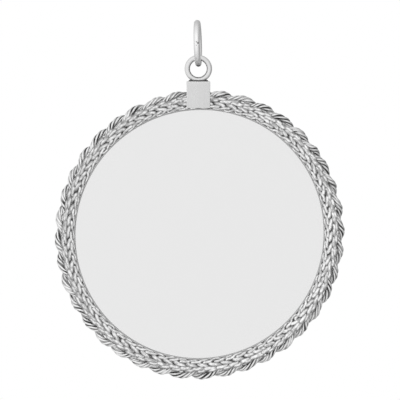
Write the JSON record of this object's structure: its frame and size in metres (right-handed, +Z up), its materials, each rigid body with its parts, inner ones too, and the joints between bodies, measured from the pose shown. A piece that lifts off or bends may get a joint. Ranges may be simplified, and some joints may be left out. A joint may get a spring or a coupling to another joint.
{
  "type": "disc pendant",
  "caption": "Round pendant: a plain disc in a bezel with a plaited wire border and a twisted rope edge, hung by a strap, a loop and a jump ring.",
  "frame": {"origin": "the inside top of the jump ring, where a chain passes", "axes": "+Z up, -Y towards the viewer of the plain face, +X to that viewer's right; the chain runs along X"},
  "size_m": [0.0425, 0.0068, 0.0527],
  "materials": {
    "disc_face": "fine satin, plain, rhodium-plated silver",
    "polished_metal": "mirror polished, rhodium-plated silver",
    "strap_metal": "fine satin with polished edges",
    "plait_wire": "polished wire, darker in the recesses",
    "rope_wire": "polished twisted wire, dark between the wires"
  },
  "bodies": {
    "jump_ring": {"jump_ring": "polished_metal"},
    "pendant": {"disc": "disc_face", "bezel": "polished_metal", "plait_strand_1": "plait_wire", "plait_strand_2": "plait_wire", "plait_strand_3": "plait_wire", "plait_strand_4": "plait_wire", "rope_strand_1": "rope_wire", "rope_strand_2": "rope_wire", "bail": "strap_metal"}
  },
  "joints": [
    {"name": "pendant_swing", "type": "hinge", "parent": "jump_ring", "child": "pendant", "pos_m": [0.00015, 0, -0.00465], "axis": [1, 0, 0], "range_deg": [-85, 85]}
  ]
}
